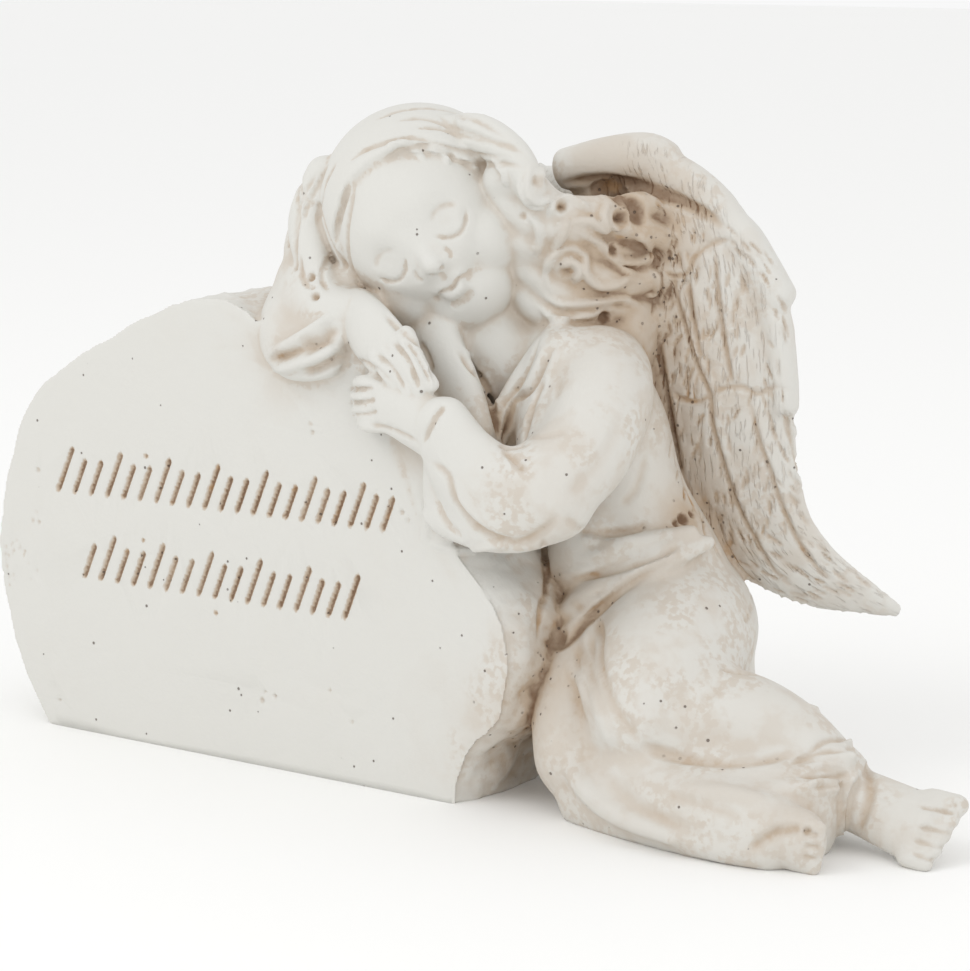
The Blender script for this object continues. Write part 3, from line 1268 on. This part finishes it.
stoneFinish = {
    "ivory": (0.68, 0.672, 0.635, 1),
    "warm": (0.60, 0.55, 0.485, 1),
    "beige": (0.50, 0.40, 0.30, 1),
    "brown": (0.21, 0.125, 0.07, 1),
    "ochre": (0.40, 0.22, 0.08, 1),
    "pinhole": (0.10, 0.07, 0.05, 1),
    "toWarm": (0.08, 0.42),  # amounts of wash between which one colour turns into the next
    "toBeige": (0.26, 0.78),
    "toBrown": (0.66, 1.2),
    "roughness": (0.68, 0.14),  # least, and how far the grain raises it
    "feather": 8.5,  # millimetres wide
    "featherShift": 40.5,  # half a feather, so that one lies on the spine, and enough to number from zero up
    "barbJump": 7.3,  # between the streaks of one feather and the next
    "barbLean": (0.98, 0.2),  # cosine and sine
    "barbScale": (1.5, 0.2),  # for each millimetre across and along
    "barbEdge": (0.57, 0.68),
    # clouds for each metre
    "broad": 34, "fine": 210, "grain": 900, "mottle": 95, "rubbed": 55, "flecks": 480, "rust": 120,
    # pinholes: for each metre, half width in cells, and the share of the cells that have one
    "pinholes": [(150, 0.075, 0.28), (310, 0.13, 0.1)],
    "washPinholes": (420, 0.2, 0.5),
}


def barbs(paint):
    # fine streaks that lean across each feather, along the guide written on the mesh, and where wings are
    guide = paint.node("ShaderNodeAttribute", {"attribute_name": "feather"}, {}, "Vector")
    split = "ShaderNodeSeparateXYZ"
    across, along, zone = (paint.node(split, {}, {"Vector": guide}, axis) for axis in "XYZ")
    feather = across / stoneFinish["feather"] + stoneFinish["featherShift"]
    number = paint.node("ShaderNodeMath", {"operation": "FLOOR"}, {0: feather})
    straight, lean = stoneFinish["barbLean"]
    acrossBarb, alongBarb = across * straight - along * lean, across * lean + along * straight
    narrow, long = stoneFinish["barbScale"]
    own = number * stoneFinish["barbJump"]
    spot = paint.node("ShaderNodeCombineXYZ", {}, {"X": acrossBarb * narrow, "Y": alongBarb * long, "Z": own})
    streaks = paint.node("ShaderNodeTexNoise", {}, {"Vector": spot, "Scale": 1, "Detail": 2})
    return streaks.ramp(*stoneFinish["barbEdge"]), zone


def ivoryStone():
    finish = bpy.data.materials.new("ivoryStone")
    finish.use_nodes = True
    tree = finish.node_tree
    shader = tree.nodes["Principled BSDF"]
    paint = Paint(tree)
    here = paint.node("ShaderNodeTexCoord", {}, {}, "Object")

    def cloud(name, detail=4):
        scale = stoneFinish[name]
        return paint.node("ShaderNodeTexNoise", {}, {"Vector": here, "Scale": scale, "Detail": detail})

    def dots(scale, size, share):
        cells = paint.node("ShaderNodeTexVoronoi", {}, {"Vector": here, "Scale": scale})
        pick = Paint(tree, cells.socket.node.outputs["Color"])
        chance = paint.node("ShaderNodeSeparateColor", {}, {"Color": pick})
        return (1 - cells.ramp(size * 0.6, size)) * chance.ramp(1 - share, 1 - share + 0.02)

    wash = paint.node("ShaderNodeAttribute", {"attribute_name": "wash"}, {}, "Fac")
    broad, fine, grain = cloud("broad"), cloud("fine"), cloud("grain", 2)
    streaks, zone = barbs(paint)
    amount = wash * (0.5 + broad * 0.5 + fine * 0.5) + streaks * zone * (0.06 + wash * 0.4)
    mottle = cloud("mottle", 6).ramp(0.47, 0.62) * (0.04 + wash * 1.2)
    flecks = cloud("flecks", 6).ramp(0.44, 0.64)
    rubbed = cloud("rubbed", 2).ramp(0.46, 0.6) * flecks * wash.ramp(0.04, 0.12)
    warmth = amount + broad * 0.16 + mottle * 0.5 + rubbed * 0.3
    colour = warmth.ramp(*stoneFinish["toWarm"]).blend(stoneFinish["ivory"], stoneFinish["warm"])
    depth = amount + fine * 0.14 + rubbed * 0.14
    colour = depth.ramp(*stoneFinish["toBeige"]).blend(colour, stoneFinish["beige"])
    depth = amount + grain * 0.12
    colour = depth.ramp(*stoneFinish["toBrown"]).blend(colour, stoneFinish["brown"])
    rust = amount.ramp(0.35, 0.6) * cloud("rust").ramp(0.6, 0.72) * 0.5
    colour = rust.blend(colour, stoneFinish["ochre"])
    pits = dots(*stoneFinish["washPinholes"]) * amount.ramp(0.3, 0.6)
    for pinholes in stoneFinish["pinholes"]:
        pits = paint.maths("MAXIMUM", pits, dots(*pinholes))
    colour = (pits * 0.8).blend(colour, stoneFinish["pinhole"])
    least, more = stoneFinish["roughness"]
    height = fine * 0.35 + grain * 0.12 - streaks * zone * 0.8 - pits * 1.2
    relief = {"Height": height, "Strength": 0.6, "Distance": 0.0007}
    bump = paint.node("ShaderNodeBump", {}, relief, "Normal")
    for name, value in (("Base Color", colour), ("Roughness", least + grain * more), ("Normal", bump)):
        tree.links.new(value.socket, shader.inputs[name])
    return finish


figure = buildAngel()
figure.materials.append(ivoryStone())
angel = bpy.data.objects.new("angelOnStone", figure)
bpy.context.scene.collection.objects.link(angel)

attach(angel, "root")
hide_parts("angel_on_stone")

# Floor, lights and camera, in metres.

studio = {
    "floorSize": 6,
    "floor": (0.95, 0.95, 0.94, 1),
    "floorRoughness": 0.9,
    "sky": (1, 1, 1, 1),
    "skyStrength": 0.94,
    "lampAim": (0, 0, 0.08),
    "lamps": [("keyLight", (-0.5, -1.0, 1.1), 0.7, 3.6), ("fillLight", (1.2, -0.7, 0.6), 0.9, 2)],
}

bm = bmesh.new()
bmesh.ops.create_grid(bm, x_segments=1, y_segments=1, size=studio["floorSize"])
floor = bpy.data.objects.new("floor", meshFrom(bm, "floor"))
bpy.context.scene.collection.objects.link(floor)
floorFinish = bpy.data.materials.new("paleFloor")
floorFinish.use_nodes = True
floorShader = floorFinish.node_tree.nodes["Principled BSDF"]
floorShader.inputs["Base Color"].default_value = studio["floor"]
floorShader.inputs["Roughness"].default_value = studio["floorRoughness"]
floor.data.materials.append(floorFinish)

world = bpy.data.worlds.new("studio")
world.use_nodes = True
sky = world.node_tree.nodes["Background"]
sky.inputs["Color"].default_value = studio["sky"]
sky.inputs["Strength"].default_value = studio["skyStrength"]
bpy.context.scene.world = world

for name, place, size, power in studio["lamps"]:
    lamp = bpy.data.lights.new(name, "AREA")
    lamp.size = size
    lamp.energy = power
    holder = bpy.data.objects.new(name, lamp)
    holder.location = place
    way = Vector(studio["lampAim"]) - Vector(place)
    holder.rotation_euler = way.to_track_quat("-Z", "Y").to_euler()
    bpy.context.scene.collection.objects.link(holder)

eye = bpy.data.cameras.new("view")
eye.lens = camera["lens"]
eye.sensor_width = 36
eye.clip_start = 0.01
eyeHolder = bpy.data.objects.new("view", eye)
eyeHolder.location = (camera["place"] + originShift) * 0.001
way = camera["aim"] - camera["place"]
eyeHolder.rotation_euler = way.to_track_quat("-Z", "Y").to_euler()
bpy.context.scene.collection.objects.link(eyeHolder)
bpy.context.scene.camera = eyeHolder
bpy.context.scene.view_settings.view_transform = "Standard"
